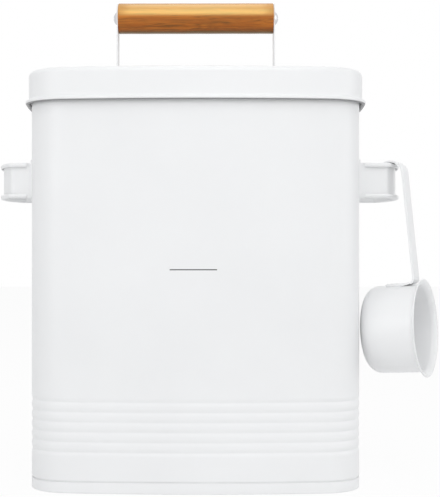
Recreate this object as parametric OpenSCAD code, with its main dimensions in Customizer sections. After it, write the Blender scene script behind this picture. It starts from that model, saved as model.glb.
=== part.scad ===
// Laundry detergent container: a coated steel tin with a lift-off lid, a wooden lid grip, two strap handles
// and a measuring scoop that hangs from the right handle.
// Millimetres. Z is up, X runs along the width, the front faces -Y, and the tin stands on z = 0.

/* [Tin] */
// Overall width of the tin across its two sides
tin_w = 204; // [170:1:240]
// Overall depth of the tin from front to back
tin_d = 140; // [120:1:170]
// Height of the rolled top edge of the wall
tin_h = 253; // [230:1:300]
// Radius of the four upright corners
corner_r = 26; // [22:1:34]
// Half the turn of the bowed front and back, in degrees
front_half = 6.5; // [3:0.5:7]
// Half the turn of the two bowed sides, in degrees
side_half = 4.5; // [3:0.5:7]
// Thickness of the coated sheet of the tin and the lid
sheet = 0.6; // [0.45:0.05:0.8]
// Outer radius of the curl rolled inwards along the top edge
rim_curl_r = 1.4; // [1.2:0.1:1.7]
// Width of the upright lock seam at the back
lock_seam_w = 5; // [3:0.5:8]
// How far the lock seam stands out of the back
lock_seam_out = 0.45; // [0.3:0.05:0.6]

/* [Ribs] */
// Number of ribs rolled into the wall near the foot
rib_count = 5; // [3:1:7]
// Distance from one rib to the next
rib_pitch = 5.95; // [4.5:0.05:7]
// Steepest slope of the ribs, in degrees
rib_turn = 20; // [14:1:26]
// Radius at the bottom of a groove
groove_r = 1.4; // [1:0.1:2]
// Height of the lowest groove
rib_base = 24.4; // [20:0.2:32]

/* [Base seam] */
// Height of the folded seam round the foot
seam_h = 6.4; // [5:0.1:8]
// Clearance between the folded sheets of the seam
seam_gap = 0.1; // [0.05:0.01:0.15]
// Outer radius of the two lower edges of the seam
seam_edge_r = 0.7; // [0.6:0.05:0.8]
// Height of the underside of the floor above the foot
floor_lift = 4; // [3:0.25:5]
// Outer radius of the bend between the floor and the seam
floor_bend_r = 1.5; // [1.2:0.1:2]
// Radius of the two bends that neck the wall in above the seam
neck_r = 1.2; // [1:0.1:1.6]

/* [Lid] */
// Clearance between the wall and the skirt of the lid
lid_clear = 1.2; // [1:0.1:1.6]
// Gap between the rolled top edge and the underside of the lid
lid_seat = 0.3; // [0.3:0.05:0.5]
// Height of the lid from its bead to its top
lid_h = 20.3; // [16:0.1:26]
// Outer radius of the top edge of the lid
lid_edge_r = 3.5; // [3.2:0.1:4]
// How far the bead stands out of the skirt
bead_out = 2.1; // [1.6:0.1:2.3]
// Outer radius of the nose of the bead
bead_nose_r = 1.3; // [1.1:0.1:1.5]
// Radius of the flare between the skirt and the bead
bead_flare_r = 1.2; // [1.1:0.1:1.6]

/* [Lid grip] */
// Diameter of the wooden grip
grip_d = 19.5; // [16:0.5:24]
// Length of the wooden grip
grip_l = 100; // [80:1:120]
// Height of the middle of the grip above the lid
grip_rise = 41; // [34:0.5:50]
// Chamfer at each end of the grip
grip_chamfer = 0.8; // [0.4:0.1:1.5]
// Width of the bracket strap
bracket_w = 15; // [12:0.5:16]
// Thickness of the bracket strap
bracket_t = 0.8; // [0.6:0.1:1.2]
// Outer radius of the bends of the bracket
bracket_bend_r = 2.5; // [2:0.1:4]
// How far the rounded ends of the bracket stand above the screws
bracket_over = 9.5; // [8:0.5:11]
// Diameter of the screw shanks
screw_d = 4; // [3:0.5:5]
// Length of the screws in the wood
screw_l = 22; // [15:1:30]
// Diameter of the domed screw heads
screw_head_d = 9; // [7.5:0.5:11]
// Height of the domed screw heads
screw_head_h = 2.4; // [1.8:0.1:3]
// Width of the cross recess in the screw heads
recess_w = 1; // [0.8:0.1:1.2]

/* [Side handles] */
// Height of the middle of the side handles
handle_z = 188.2; // [170:0.2:200]
// Height of the handle strap
handle_h = 22; // [19:0.5:27]
// How far the middle of the left handle stands out of the side
left_reach = 21.5; // [20:0.1:30]
// How far the middle of the right handle, which carries the scoop, stands out of the side
right_reach = 26.2; // [22:0.1:30]
// Distance between the outer faces of the two legs of a handle
handle_span = 62; // [54:1:66]
// Thickness of the handle strap
handle_t = 0.9; // [0.7:0.1:1.2]
// Half the turn of the bow of the strap, in degrees
bow_half = 30; // [26:1:34]
// Outer radius of the bends between the legs and the bow
handle_bend_r = 2.5; // [2.5:0.5:7]
// Outer radius of the rolled edges of the strap
roll_r = 1.5; // [1.3:0.1:1.8]
// Height of the feet
foot_h = 25; // [22:0.5:30]
// Length of the feet along the side
foot_l = 10.5; // [8:0.5:13]
// Corner radius of the feet
foot_corner_r = 4; // [2:0.5:5]
// Length of the flat end of a leg before the rolled edges start
flat_l = 3; // [1.5:0.5:5]

/* [Scoop] */
// Outer diameter of the scoop cup
cup_d = 54.5; // [46:0.5:60]
// Depth of the scoop cup from its lip to its bottom
cup_depth = 35.5; // [30:0.5:40]
// Thickness of the cup sheet
cup_t = 0.8; // [0.6:0.1:1]
// Outer radius of the bottom edge of the cup
cup_edge_r = 8; // [5:0.5:12]
// Radius of the flared lip
lip_r = 3.3; // [2.5:0.1:4.5]
// Height of the hook's middle above the axis of the cup
hook_drop = 96.8; // [80:0.2:110]
// How far the hanging scoop leans away from the tin, in degrees
scoop_tilt = 3; // [0:0.5:5]
// Gap between the cup and the side of the tin
cup_gap = 0.7; // [0.5:0.1:3]
// Width of the scoop strap
strap_w = 13.5; // [11:0.5:17]
// Thickness of the scoop strap
strap_t = 1.2; // [1:0.1:1.5]
// Inner radius of the hook
hook_r = 7; // [6.5:0.25:11]
// Straight length at the tip of the hook
hook_tip = 6.5; // [4:0.5:10]
// Gap between the hook and the handle it hangs on
hook_gap = 0.3; // [0.3:0.05:0.5]
// Where the hook hangs, as a share of the bow from its middle to its end
hook_share = 0.8; // [0.6:0.01:0.8]
// Inner radius of the bend at the foot of the strap
strap_bend_r = 2; // [1.5:0.1:3]
// Length of the strap that is welded to the cup
tab_l = 15; // [10:0.5:18]
// Gap between the strap and the flared lip
lip_gap = 0.3; // [0.2:0.05:0.5]

/* [Hidden] */
$fn = 96;
// facets of the long arcs of the outline in a preview
arc_fn = 240;
// straight steps in the small bends, the curls, the ribs and the hook
bend_steps = 5;
curl_steps = 12;
rib_steps = 4;
hook_steps = 24;
// how far cuts run past what they cut
overrun = 1;
// long numbers are split at this step, so that arcs meet exactly
grid = 0.01;
// shares of the corner radius: width of the flat band in a panel, and depth of the fill's corners in that band
band_share = 0.5;
fill_share = 0.25;
// share of the strap's thickness by which the scoop strap stands above its tab
lift_share = 0.3;
white = "#f1f2f3";
wood = "#b8783c";
steel = "#c9cacc";

half_w = tin_w / 2;
half_d = tin_d / 2;

// the outline of the wall is eight arcs that run into one another
core_w = half_w - corner_r;
core_d = half_d - corner_r;
front_slope = tan(front_half / 2);
side_slope = tan(side_half / 2);
corner_x = (core_w - side_slope * core_d) / (1 - front_slope * side_slope);
corner_y = (core_d - front_slope * core_w) / (1 - front_slope * side_slope);
front_r = corner_r + corner_x / sin(front_half);
side_r = corner_r + corner_y / sin(side_half);
corner_turn = 90 - front_half - side_half;
side_cx = half_w - side_r;

// each arc: centre x, centre y, radius, start angle, turn
outline = [
    [side_cx, 0, side_r, 360 - side_half, 2 * side_half],
    [corner_x, corner_y, corner_r, side_half, corner_turn],
    [0, half_d - front_r, front_r, 90 - front_half, 2 * front_half],
    [-corner_x, corner_y, corner_r, 90 + front_half, corner_turn],
    [-side_cx, 0, side_r, 180 - side_half, 2 * side_half],
    [-corner_x, -corner_y, corner_r, 180 + side_half, corner_turn],
    [0, front_r - half_d, front_r, 270 - front_half, 2 * front_half],
    [corner_x, -corner_y, corner_r, 270 + front_half, corner_turn]
];

fill_in = corner_r * fill_share;
// the fill's corners lie at the middles of the arcs, away from where the arcs meet
fill_points = [
    for (a = outline)
        let (middle = a[3] + a[4] / 2)
            [a[0], a[1]] + (a[2] - fill_in) * [cos(middle), sin(middle)]
];
band = corner_r * band_share;

// A sheet's section is a list of bends: centre, radius of the outer face, 1 for a bend round the inside or
// -1 round the outside, start angle, end angle, steps, first step.
function bend_points(b, depth) = [
    for (i = [b[6] : b[5]])
        let (angle = b[3] + (b[4] - b[3]) * i / b[5])
            b[0] + (b[1] - b[2] * depth) * [cos(angle), sin(angle)]
];
function face_points(bends, depth) = [for (b = bends) each bend_points(b, depth)];
function reversed(list) = [for (i = [len(list) - 1 : -1 : 0]) list[i]];
// a cut end of the sheet, with its outer face at p and facing the angle
function sheet_end(p, angle, t) = [p - t * [cos(angle), sin(angle)], t, 1, angle, angle, 1, 1];

// ribs
crest_r = rib_pitch / 2 / sin(rib_turn) - groove_r;
rib_depth = rib_pitch / 2 * tan(rib_turn / 2);
ribs_from = rib_base - rib_pitch / 2;
ribs_to = rib_base + (rib_count + 0.5) * rib_pitch;
rib_bends = [
    [[-crest_r, ribs_from], crest_r, 1, 0, rib_turn, rib_steps, 0],
    for (i = [0 : rib_count])
        each [
            [[groove_r - rib_depth, rib_base + i * rib_pitch], groove_r, -1,
                180 + rib_turn, 180 - rib_turn, rib_steps, 1],
            [[-crest_r, ribs_from + (i + 1) * rib_pitch], crest_r, 1,
                -rib_turn, i < rib_count ? rib_turn : 0, rib_steps, 1]
        ]
];

// base seam and neck
neck_in = sheet + seam_gap;
neck_turn = acos(1 - neck_in / (2 * neck_r));
neck_top = seam_h + 2 * neck_r * sin(neck_turn);
seam_w = 3 * sheet + 2 * seam_gap;
wall_foot = sheet + seam_gap;
floor_top = floor_lift + sheet;
floor_cx = sheet - seam_w - floor_bend_r;
wall_bends = [
    sheet_end([-neck_in, wall_foot], 0, sheet),
    [[neck_r - neck_in, seam_h], neck_r, -1, 180, 180 - neck_turn, bend_steps, 0],
    [[-neck_r, neck_top], neck_r, 1, -neck_turn, 0, bend_steps, 1],
    each rib_bends,
    [[-rim_curl_r, tin_h - rim_curl_r], rim_curl_r, 1, 0, 250, curl_steps, 0]
];
base_bends = [
    sheet_end([0, seam_h], 0, sheet),
    [[-seam_edge_r, seam_edge_r], seam_edge_r, 1, 0, -90, bend_steps, 0],
    [[seam_edge_r - seam_w, seam_edge_r], seam_edge_r, 1, 270, 180, bend_steps, 0],
    [[floor_cx, floor_top - floor_bend_r], floor_bend_r - sheet, -1, 0, 90, bend_steps, 0],
    sheet_end([-band, floor_lift], 270, sheet)
];

// lid
lid_out = lid_clear + sheet;
lid_top = tin_h + lid_seat + sheet;
bead_turn = acos(1 - bead_out / (bead_flare_r + bead_nose_r));
bead_nose_x = lid_out + bead_flare_r - (bead_flare_r + bead_nose_r) * cos(bead_turn);
bead_nose_z = lid_top - lid_h + bead_nose_r;
bead_flare_z = bead_nose_z + (bead_flare_r + bead_nose_r) * sin(bead_turn);
bead_tuck = 150;
lid_bends = [
    sheet_end([-band, lid_top], 90, sheet),
    [[lid_out - lid_edge_r, lid_top - lid_edge_r], lid_edge_r, 1, 90, 0, 2 * bend_steps, 0],
    [[lid_out + bead_flare_r, bead_flare_z], bead_flare_r, -1, 180, 180 + bead_turn, bend_steps, 0],
    [[bead_nose_x, bead_nose_z], bead_nose_r, 1, bead_turn, -bead_tuck, curl_steps, 1]
];

// lid grip
grip_z = lid_top + grip_rise;
upright_x = grip_l / 2;
upright_out = upright_x + bracket_t;
bracket_end_z = grip_z + bracket_over - bracket_w / 2;
head_ball_r = (screw_head_d * screw_head_d / 4 + screw_head_h * screw_head_h) / (2 * screw_head_h);
recess_depth = screw_head_h / 2;
recess_l = screw_head_d / 2;

// side handles
leg_y = handle_span / 2;
bend_y = leg_y - handle_bend_r;
handle_bow_r = handle_bend_r + bend_y / sin(bow_half);
function bow_at(reach) = half_w + reach - handle_bow_r;
function bend_at(reach) = bow_at(reach) + (handle_bow_r - handle_bend_r) * cos(bow_half);
roll_x = roll_r - handle_t;
roll_z = handle_h / 2 - roll_r;
roll_tuck = 60;
strap_bends = [
    [[roll_x, -roll_z], roll_r - handle_t, -1, 360 + roll_tuck, 180, curl_steps, 0],
    [[roll_x, roll_z], roll_r - handle_t, -1, 180, -roll_tuck, curl_steps, 0]
];
foot_r = side_r + handle_t;
foot_from = asin((leg_y - handle_t) / side_r);
leg_root = side_cx + side_r * cos(foot_from);
function rolled_length(reach) = round((bend_at(reach) - leg_root - handle_t - flat_l) / grid) * grid;
// the feet end where the bowed side does
foot_end = min(leg_y + foot_l, side_r * sin(side_half));

// scoop, in a frame with its origin in the middle of the hook, x along the axis of the cup and z up
scoop_turn = bow_half * hook_share;
hook_reach = handle_bow_r + roll_x;
hook_at = [
    bow_at(right_reach) + hook_reach * cos(scoop_turn),
    -hook_reach * sin(scoop_turn),
    handle_z + handle_h / 2 + hook_gap - hook_r
];
cup_r = cup_d / 2;
cup_flat_r = cup_r - cup_edge_r;
// the cup is set back until its bottom edge is a gap away from the bowed side
hang_out = hook_drop * sin(scoop_tilt);
cup_from = [
    hook_at[0] - side_cx + hang_out * cos(scoop_turn) - cup_flat_r * sin(scoop_turn),
    hook_at[1] - hang_out * sin(scoop_turn) - cup_flat_r * cos(scoop_turn)
];
cup_along = cup_from * [cos(scoop_turn), -sin(scoop_turn)];
cup_away = side_r + cup_gap + cup_edge_r;
cup_set = sqrt(cup_along * cup_along - cup_from * cup_from + cup_away * cup_away) - cup_along;
cup_back = cup_set / cos(scoop_tilt) - cup_edge_r;
cup_front = cup_back + cup_depth;
strap_low = cup_r + strap_t * lift_share - hook_drop;
bend_up = strap_low + strap_t + strap_bend_r;
bend_out = cup_front - lip_r - lip_gap - strap_t - strap_bend_r;
strap_lean = acos((hook_r - strap_bend_r) / norm([bend_out, bend_up])) - atan2(-bend_up, bend_out);
tab_half = asin(strap_w / 2 / (cup_r + strap_t));
scoop_bends = [
    sheet_end([-hook_r - strap_t, -hook_tip], 180, strap_t),
    [[0, 0], hook_r + strap_t, 1, 180, strap_lean, hook_steps, 0],
    [[bend_out, bend_up], strap_bend_r + strap_t, 1, strap_lean, -90, bend_steps, 0],
    sheet_end([bend_out - tab_l / 2, strap_low], 270, strap_t)
];
// half a section of the cup: x is the radius, y runs from the bottom to the lip
cup_bends = [
    sheet_end([0, 0], 270, cup_t),
    [[cup_flat_r, cup_edge_r], cup_edge_r, 1, 270, 360, 2 * bend_steps, 0],
    [[cup_r + lip_r, cup_depth - lip_r], lip_r, -1, 180, 90, 2 * bend_steps, 0]
];

// moves to a point in two steps, so that a long number keeps all its digits
module place(v) {
    near = [for (x = v) round(x / grid) * grid];
    translate(near)
        translate(v - near)
            children();
}

// carries a profile round the outline: x is outwards from the wall, y is height
module around() {
    for (a = outline)
        place([a[0], a[1], 0])
            rotate_extrude(angle = a[4], start = a[3], $fn = arc_fn)
                place([a[2], 0])
                    children();
}

// the middle of a flat panel, inside the band that the profile carries round
module panel_fill(z) {
    translate([0, 0, z])
        linear_extrude(height = sheet)
            polygon(fill_points);
}

// a sheet bent along a list of bends
module bent_sheet(bends, t) {
    polygon(concat(face_points(bends, 0), reversed(face_points(bends, t))));
}

module body_wall() {
    color(white)
        union() {
            around()
                bent_sheet(wall_bends, sheet);
            translate([-lock_seam_w / 2, half_d - sheet / 2, neck_top])
                cube([lock_seam_w, sheet / 2 + lock_seam_out, tin_h - rim_curl_r - neck_top]);
        }
}

module base_panel() {
    color(white)
        union() {
            around()
                bent_sheet(base_bends, sheet);
            panel_fill(floor_lift);
        }
}

module lid() {
    color(white)
        union() {
            around()
                bent_sheet(lid_bends, sheet);
            panel_fill(lid_top - sheet);
        }
}

// the outline of the bent strap, seen from the front
module bracket_profile() {
    bent_sheet([
        sheet_end([-upright_out, grip_rise + bracket_over], 180, bracket_t),
        [[bracket_bend_r - upright_out, bracket_bend_r], bracket_bend_r, 1, 180, 270, bend_steps, 0],
        [[upright_out - bracket_bend_r, bracket_bend_r], bracket_bend_r, 1, 270, 360, bend_steps, 0],
        sheet_end([upright_out, grip_rise + bracket_over], 0, bracket_t)
    ], bracket_t);
}

module lid_bracket() {
    color(white)
        difference() {
            intersection() {
                translate([0, bracket_w / 2, lid_top])
                    rotate([90, 0, 0])
                        linear_extrude(height = bracket_w)
                            bracket_profile();
                translate([-upright_out - overrun, 0, 0])
                    rotate([90, 0, 90])
                        linear_extrude(height = 2 * (upright_out + overrun)) {
                            translate([-bracket_w / 2 - overrun, lid_top - overrun])
                                square([bracket_w + 2 * overrun, bracket_end_z - lid_top + overrun]);
                            translate([0, bracket_end_z])
                                circle(bracket_w / 2);
                        }
            }
            translate([-upright_out - overrun, 0, grip_z])
                rotate([0, 90, 0])
                    cylinder(h = 2 * (upright_out + overrun), d = screw_d);
        }
}

module wooden_grip() {
    grip_r = grip_d / 2;
    color(wood)
        translate([-upright_x, 0, grip_z])
            rotate([0, 90, 0])
                difference() {
                    rotate_extrude()
                        polygon([[0, 0], [grip_r - grip_chamfer, 0], [grip_r, grip_chamfer],
                            [grip_r, grip_l - grip_chamfer], [grip_r - grip_chamfer, grip_l], [0, grip_l]]);
                    translate([0, 0, -overrun])
                        cylinder(h = screw_l + overrun, d = screw_d);
                    translate([0, 0, grip_l - screw_l])
                        cylinder(h = screw_l + overrun, d = screw_d);
                }
}

// one dome-head screw along z, its head above z = 0
module screw() {
    difference() {
        union() {
            intersection() {
                translate([0, 0, screw_head_h - head_ball_r])
                    sphere(head_ball_r);
                cylinder(h = screw_head_h, d = screw_head_d);
            }
            translate([0, 0, -screw_l - bracket_t])
                cylinder(h = screw_l + bracket_t, d = screw_d);
        }
        for (turn = [0, 90])
            rotate(turn)
                translate([-recess_l / 2, -recess_w / 2, screw_head_h - recess_depth])
                    cube([recess_l, recess_w, recess_depth + overrun]);
    }
}

module grip_screws() {
    color(steel)
        for (side = [0, 1])
            mirror([side, 0, 0])
                translate([upright_out, 0, grip_z])
                    rotate([0, 90, 0])
                        screw();
}

// the section of the handle strap: x is outwards from its outer face, y is height from its middle
module handle_section() {
    bent_sheet(strap_bends, handle_t);
}

// the foot's shape seen from the side, with its free end rounded
module foot_shape() {
    length = foot_end - leg_y + handle_t;
    translate([foot_corner_r - foot_end, -foot_h / 2])
        square([length - foot_corner_r, foot_h]);
    translate([-foot_end, foot_corner_r - foot_h / 2])
        square([length, foot_h - 2 * foot_corner_r]);
    for (side = [-1, 1])
        translate([foot_corner_r - foot_end, side * (foot_h / 2 - foot_corner_r)])
            circle(foot_corner_r);
}

// the front half of a handle on the right side, without its bow
module handle_leg(reach) {
    bend_x = bend_at(reach);
    rolled_l = rolled_length(reach);
    place([bend_x, -bend_y, 0])
        rotate_extrude(angle = 90 - bow_half, start = 270)
            place([handle_bend_r, 0])
                handle_section();
    place([bend_x, -leg_y, 0])
        rotate([90, 0, -90])
            linear_extrude(height = rolled_l)
                handle_section();
    place([bend_x - rolled_l, 0, 0])
        translate([-flat_l - handle_t / 2, -leg_y, -handle_h / 2])
            cube([flat_l + handle_t / 2, handle_t, handle_h]);
    intersection() {
        translate([side_cx, 0, -foot_h])
            difference() {
                cylinder(h = 2 * foot_h, r = foot_r, $fn = arc_fn);
                cylinder(h = 2 * foot_h, r = side_r, $fn = arc_fn);
            }
        translate([half_w - corner_r, 0, 0])
            rotate([90, 0, 90])
                linear_extrude(height = corner_r + reach)
                    foot_shape();
    }
}

module handle(reach) {
    translate([0, 0, handle_z])
        union() {
            place([bow_at(reach), 0, 0])
                rotate_extrude(angle = 2 * bow_half, start = 360 - bow_half, $fn = arc_fn)
                    place([handle_bow_r, 0])
                        handle_section();
            handle_leg(reach);
            mirror([0, 1, 0])
                handle_leg(reach);
        }
}

module left_handle() {
    color(white)
        mirror([1, 0, 0])
            handle(left_reach);
}

module right_handle() {
    color(white)
        handle(right_reach);
}

// sets the scoop's own frame on the handle
module on_handle() {
    translate(hook_at)
        rotate([0, -scoop_tilt, -scoop_turn])
            children();
}

module scoop_cup() {
    color(white)
        on_handle()
            translate([cup_back, 0, -hook_drop])
                rotate([0, 90, 0])
                    rotate_extrude()
                        bent_sheet(cup_bends, cup_t);
}

module scoop_handle() {
    color(white)
        on_handle()
            union() {
                intersection() {
                    translate([0, strap_w / 2, 0])
                        rotate([90, 0, 0])
                            linear_extrude(height = strap_w)
                                bent_sheet(scoop_bends, strap_t);
                    // rounds the tip of the hook
                    difference() {
                        translate([-hook_drop, -strap_w, -hook_drop])
                            cube([2 * hook_drop, 2 * strap_w, 2 * hook_drop]);
                        translate([-hook_r - strap_t - overrun, 0, strap_w / 2 - hook_tip])
                            rotate([90, 0, 90])
                                linear_extrude(height = strap_t + 2 * overrun)
                                    difference() {
                                        translate([-strap_w, -strap_w])
                                            square([2 * strap_w, strap_w]);
                                        circle(strap_w / 2);
                                    }
                    }
                }
                // tab curved to the cup
                translate([bend_out - tab_l, 0, -hook_drop])
                    rotate([0, 90, 0])
                        rotate_extrude(angle = 2 * tab_half, start = 180 - tab_half)
                            translate([cup_r, 0])
                                square([strap_t, tab_l]);
            }
}

body_wall();
base_panel();
left_handle();
right_handle();
lid();
lid_bracket();
wooden_grip();
grip_screws();
scoop_cup();
scoop_handle();
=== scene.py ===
# %% [markdown]
# # A coated steel container for washing powder
# The real container is made from a few bent sheets of steel: a bowed wall with ribs, a seamed base,
# a lift-off lid with a wooden grip, two strap handles and a scoop that hooks over one of them.
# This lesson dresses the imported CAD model. The CAD nodes stay where they are as the fixed frame, and
# each one is replaced by a smooth sheet piece of the same size and place.

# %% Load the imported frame
import math

import bpy
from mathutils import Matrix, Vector
from mathutils.geometry import normal as face_normal


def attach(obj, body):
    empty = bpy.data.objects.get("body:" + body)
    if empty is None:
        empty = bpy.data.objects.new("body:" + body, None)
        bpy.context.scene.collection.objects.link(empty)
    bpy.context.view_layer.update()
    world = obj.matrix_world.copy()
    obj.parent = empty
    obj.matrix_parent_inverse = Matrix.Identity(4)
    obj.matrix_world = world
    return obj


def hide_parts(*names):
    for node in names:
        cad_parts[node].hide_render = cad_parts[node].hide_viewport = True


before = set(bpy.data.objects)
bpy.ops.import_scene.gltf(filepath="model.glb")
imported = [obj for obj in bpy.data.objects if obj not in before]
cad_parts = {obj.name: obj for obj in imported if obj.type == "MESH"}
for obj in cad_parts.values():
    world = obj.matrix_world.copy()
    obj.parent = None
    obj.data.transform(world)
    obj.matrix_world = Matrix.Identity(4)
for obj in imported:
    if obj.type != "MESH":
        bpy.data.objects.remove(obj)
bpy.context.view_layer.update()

MM = 0.001


print("CAD nodes:", ", ".join(sorted(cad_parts)))

# %% [markdown]
# Every sheet here is made the way a sheet-metal worker would draw it. First the section of the sheet is
# drawn as a line, and then that line is swept. The Spin tool does both: it turns a point into an arc and
# it turns a line into a curved wall. A curve with a bevel could sweep a section too, but Spin keeps every
# arc exact and leaves a clean grid of quads. Sizes are written in millimetres and become metres here.

# %% Start a piece, pull it and turn it
MERGE_MM = 0.002
UP = Vector((0, 0, 1))


def deselect_objects():
    """Leaves edit mode and deselects every object, since an operator acts on all that is selected."""
    if bpy.context.object and bpy.context.object.mode != "OBJECT":
        bpy.ops.object.mode_set(mode="OBJECT")
    bpy.ops.object.select_all(action="DESELECT")


def select_only(piece):
    deselect_objects()
    piece.select_set(True)
    bpy.context.view_layer.objects.active = piece


def edit(piece):
    """Goes into edit mode on one piece alone."""
    select_only(piece)
    bpy.ops.object.mode_set(mode="EDIT")
    bpy.ops.mesh.select_mode(type="VERT")


def take_all():
    """Selects the whole mesh that is being edited."""
    bpy.ops.mesh.select_all(action="SELECT")


def new_point(name, place):
    """Starts a piece as one point: a small plane, merged at its middle and moved to its place."""
    deselect_objects()
    bpy.ops.mesh.primitive_plane_add(size=MM)
    piece = bpy.context.object
    piece.name = piece.data.name = name
    edit(piece)
    take_all()
    bpy.ops.mesh.merge(type="CENTER")
    take_all()
    bpy.ops.transform.translate(value=Vector(place) * MM)
    return piece


def pull(move, steps=1):
    """Extrudes what is selected along a straight line, in equal steps."""
    step = Vector(move) * MM / steps
    for _ in range(steps):
        bpy.ops.mesh.extrude_region_move(TRANSFORM_OT_translate={"value": step})


def turn(centre, axis, degrees, steps):
    """Spins what is selected about an axis. Spin counts angles clockwise, hence the minus sign."""
    bpy.ops.mesh.spin(steps=steps, angle=-math.radians(degrees), center=Vector(centre) * MM, axis=axis)


print("points closer than", MERGE_MM, "mm count as one")

# %% [markdown]
# The section of a sheet is a chain of straight stretches and arcs. A pen draws it and remembers where it
# stands, so each stretch only says where it goes next. The two directions of the section are named once:
# outwards from the piece, and along it. The same pen then serves walls, handles, screws and the cup.

# %% A pen for sections
class SheetPen:
    """Draws the section of a sheet from its outer face: u runs outwards and v along the piece."""

    def __init__(self, name, origin, out, along, u, v):
        self.origin, self.out, self.along = Vector(origin), Vector(out), Vector(along)
        self.u, self.v = u, v
        self.piece = new_point(name, self.place(u, v))

    def place(self, u, v):
        return self.origin + u * self.out + v * self.along

    def line(self, u, v, steps=1):
        pull(self.place(u, v) - self.place(self.u, self.v), steps)
        self.u, self.v = u, v

    def arc(self, cu, cv, degrees, steps):
        turn(self.place(cu, cv), self.out.cross(self.along), degrees, steps)
        angle = math.radians(degrees)
        du, dv = self.u - cu, self.v - cv
        self.u = cu + du * math.cos(angle) - dv * math.sin(angle)
        self.v = cv + du * math.sin(angle) + dv * math.cos(angle)


print("the pen draws straight stretches and arcs")

# %% [markdown]
# A swept section is still a thin skin. Spin leaves double points where a sweep closes and may turn faces
# inside out, so the doubles are merged and the faces are made to look outwards first. Only then does the
# Solidify modifier give the skin its thickness. Smooth shading stops at real edges.

# %% Close, thicken and smooth a sheet
def merge_doubles():
    take_all()
    bpy.ops.mesh.remove_doubles(threshold=MERGE_MM * MM)


def close_sheet(piece, probe):
    """Merges doubles and makes the faces point the way that the probe, a test on a face, calls outwards."""
    merge_doubles()
    bpy.ops.mesh.normals_make_consistent(inside=False)
    bpy.ops.object.mode_set(mode="OBJECT")
    points = [vertex.co for vertex in piece.data.vertices]
    votes = [probe(face.center / MM, face_normal([points[i] for i in face.vertices]))
             for face in piece.data.polygons]
    if sum(votes) < 0:
        bpy.ops.object.mode_set(mode="EDIT")
        take_all()
        bpy.ops.mesh.flip_normals()
        bpy.ops.object.mode_set(mode="OBJECT")


def add_modifier(piece, kind, **settings):
    """Adds one modifier to a piece and applies it."""
    select_only(piece)
    bpy.ops.object.modifier_add(type=kind)
    modifier = piece.modifiers[-1]
    for key, value in settings.items():
        setattr(modifier, key, value)
    bpy.ops.object.modifier_apply(modifier=modifier.name)


def thicken(piece, thickness):
    """Gives a sheet its thickness, inwards from the face that was drawn."""
    add_modifier(piece, "SOLIDIFY", thickness=thickness * MM, offset=-1, use_even_offset=True)


def smooth(piece, angle=35):
    """Shades a piece smooth, apart from edges that are sharper than the angle."""
    select_only(piece)
    bpy.ops.object.shade_smooth_by_angle(angle=math.radians(angle))


def report(piece):
    """Prints how many faces a piece has, and its box in mm."""
    low = [min(v.co[i] for v in piece.data.vertices) / MM for i in range(3)]
    high = [max(v.co[i] for v in piece.data.vertices) / MM for i in range(3)]
    print(piece.name, "faces", len(piece.data.polygons), "from", [round(x, 2) for x in low],
          "to", [round(x, 2) for x in high])


print("a sheet is thickened inwards from the face that is drawn")

# %% [markdown]
# The outline of the tin, seen from above, is eight arcs that run into one another: two slightly bowed long
# faces, two slightly bowed sides and four round corners. A straight rounded rectangle would look flatter
# than the real tin, whose bow catches a soft band of light down each corner. Because neighbouring arcs
# share a tangent, a section that is spun about one centre after another goes round without a kink.

# %% The outline of the tin
TIN_W, TIN_D, TIN_H = 204.0, 140.0, 253.0
CORNER_R = 26.0
FRONT_HALF, SIDE_HALF = 6.5, 4.5
SHEET = 0.6
CORNER_STEPS, FRONT_STEPS, SIDE_STEPS = 20, 20, 6

half_w, half_d = TIN_W / 2, TIN_D / 2
core_w, core_d = half_w - CORNER_R, half_d - CORNER_R
front_slope = math.tan(math.radians(FRONT_HALF / 2))
side_slope = math.tan(math.radians(SIDE_HALF / 2))
corner_x = (core_w - side_slope * core_d) / (1 - front_slope * side_slope)
corner_y = (core_d - front_slope * core_w) / (1 - front_slope * side_slope)
front_r = CORNER_R + corner_x / math.sin(math.radians(FRONT_HALF))
side_r = CORNER_R + corner_y / math.sin(math.radians(SIDE_HALF))
side_cx = half_w - side_r
front_cy = front_r - half_d


def sweep_round_tin():
    """Carries the selected section, drawn at the middle of the right side, once round the outline."""
    corner = 90 - FRONT_HALF - SIDE_HALF
    turns = [
        (side_cx, 0, SIDE_HALF, SIDE_STEPS),
        (corner_x, corner_y, corner, CORNER_STEPS),
        (0, -front_cy, 2 * FRONT_HALF, FRONT_STEPS),
        (-corner_x, corner_y, corner, CORNER_STEPS),
        (-side_cx, 0, 2 * SIDE_HALF, 2 * SIDE_STEPS),
        (-corner_x, -corner_y, corner, CORNER_STEPS),
        (0, front_cy, 2 * FRONT_HALF, FRONT_STEPS),
        (corner_x, -corner_y, corner, CORNER_STEPS),
        (side_cx, 0, SIDE_HALF, SIDE_STEPS),
    ]
    take_all()
    for x, y, degrees, steps in turns:
        turn((x, y, 0), UP, degrees, steps)


def points_away(place, normal):
    """Votes on a face of the tin: does it look away from the upright axis?"""
    return normal.x * place.x + normal.y * place.y


print("corner centre", round(corner_x, 2), round(corner_y, 2), "front radius", round(front_r, 1))

# %% [markdown]
# The wall is one sheet. From the foot up its section necks out over the base seam, rolls through five
# shallow ribs that stiffen the tin, runs straight up, and curls inwards along the top edge so that no
# sharp rim is left under the lid. The ribs are arcs that bend to and fro, so light rolls over them as it
# does on pressed steel. Bump in a material could fake them, but then the outline would stay straight.

# %% Wall
SEAM_H, SEAM_GAP, NECK_R = 6.4, 0.1, 1.2
RIB_COUNT, RIB_PITCH, RIB_TURN, GROOVE_R, RIB_BASE = 5, 5.95, 20.0, 1.4, 24.4
RIM_CURL_R, RIM_CURL = 1.4, 250.0
NECK_STEPS, RIB_STEPS, CURL_STEPS = 6, 6, 16
PLAIN_LOW, PLAIN_HIGH = 80, 220

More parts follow.
